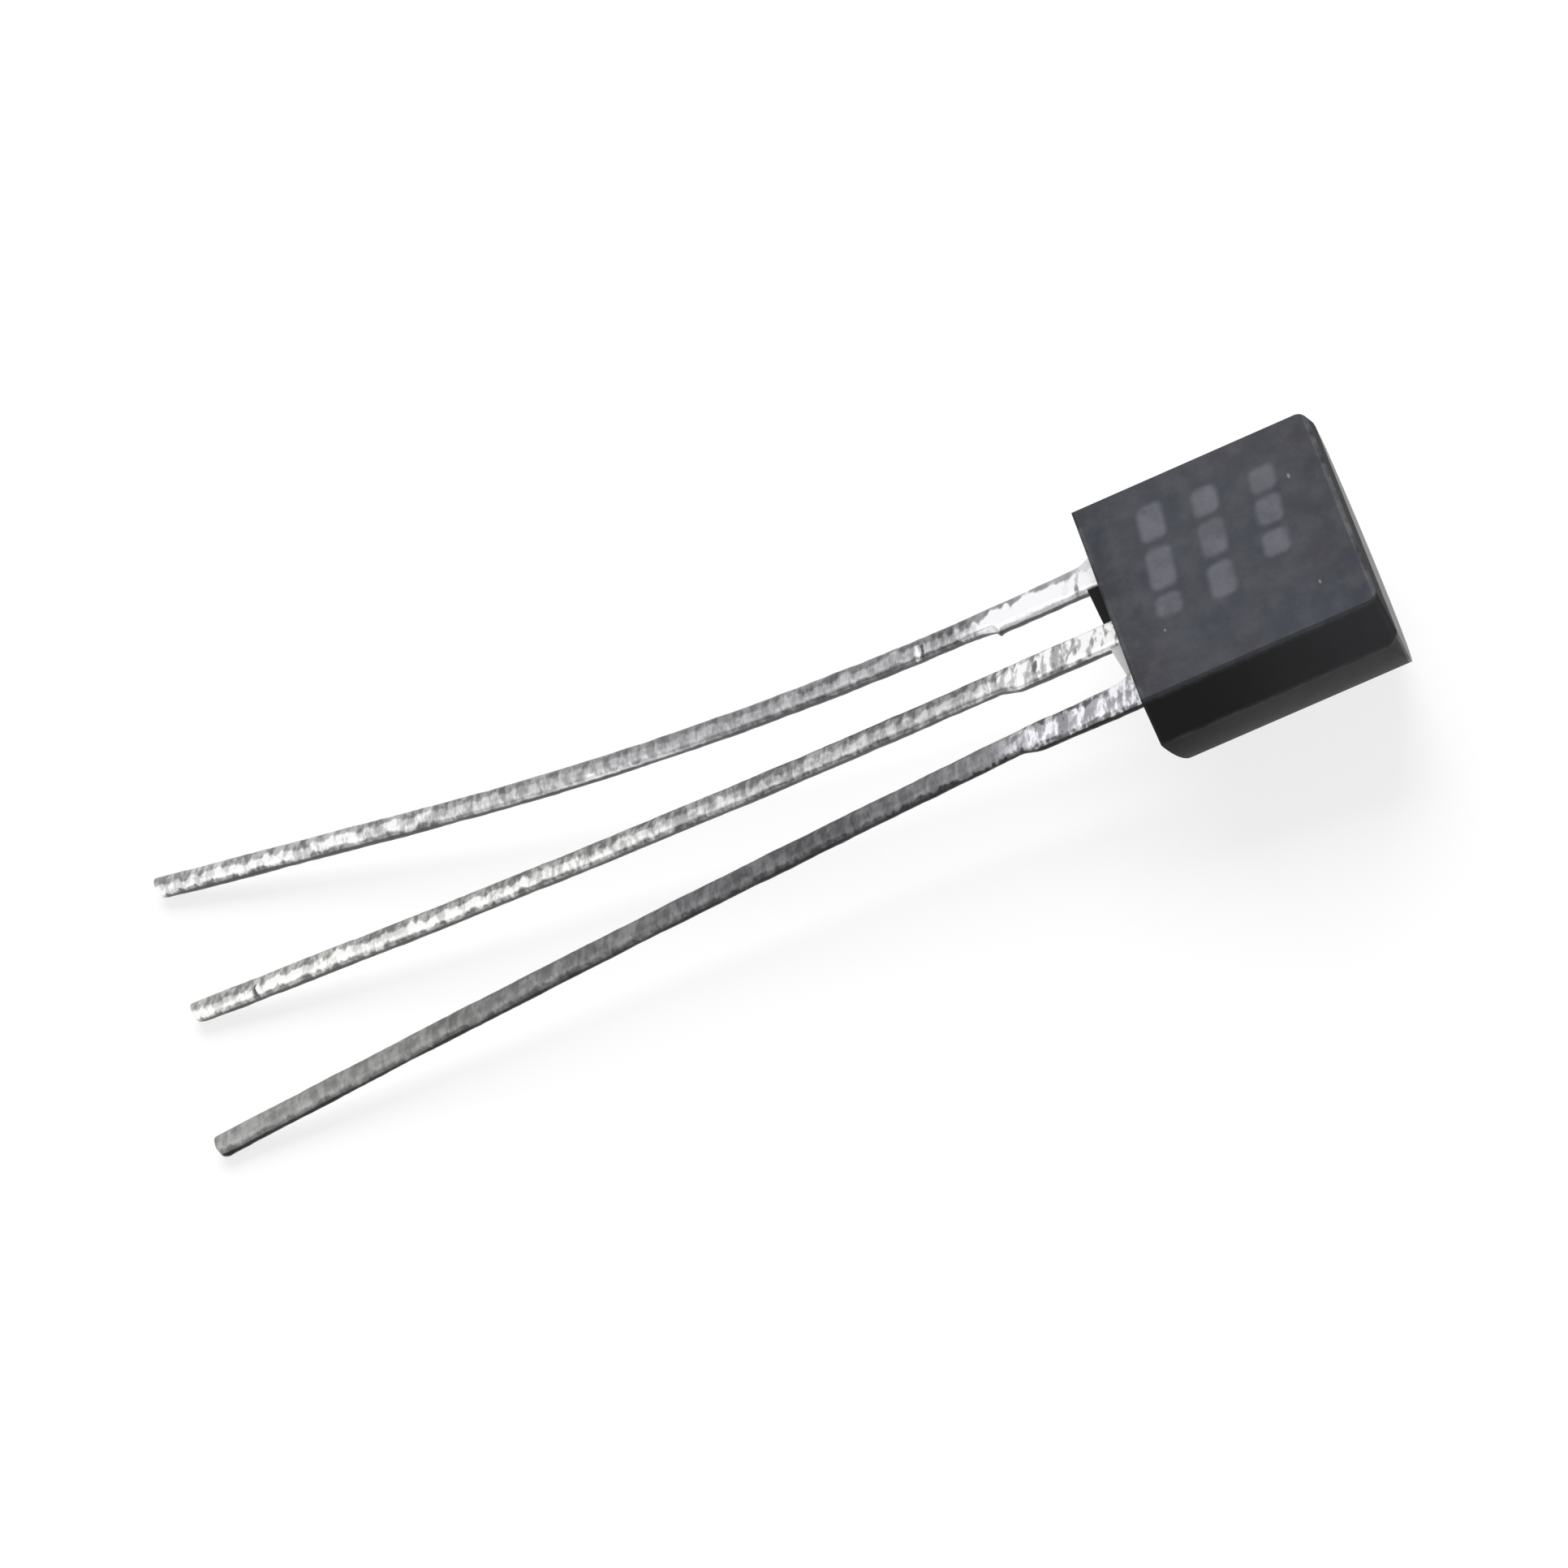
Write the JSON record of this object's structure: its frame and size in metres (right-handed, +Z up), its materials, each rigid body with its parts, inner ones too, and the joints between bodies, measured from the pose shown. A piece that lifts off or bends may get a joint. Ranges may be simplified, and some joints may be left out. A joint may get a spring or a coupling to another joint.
{
  "type": "transistor",
  "caption": "Moulded through-hole transistor with a flat marked face, a round back and long splayed tinned leads, lying on its back.",
  "frame": {"origin": "under the middle of the part's box, on the surface that it lies on", "axes": "+Z up, with the marked flat facing up; the body lies towards +X and the leads run towards -X; seen from above, the right-hand lead lies towards -Y"},
  "size_m": [0.0224, 0.006, 0.0039],
  "materials": {
    "mould_compound": "fine matte moulded epoxy, slate black",
    "tinned_lead": "hot-dipped tin, mottled bright and grey",
    "silicon": "polished silicon",
    "die_attach": "silver-filled die attach",
    "bond_wire": "bright gold wire"
  },
  "bodies": {
    "root": {"moulded_body": "mould_compound", "left_lead": "tinned_lead", "centre_lead": "tinned_lead", "right_lead": "tinned_lead", "silicon_die": "silicon", "die_attach": "die_attach", "left_bond_wire": "bond_wire", "right_bond_wire": "bond_wire"}
  },
  "joints": []
}
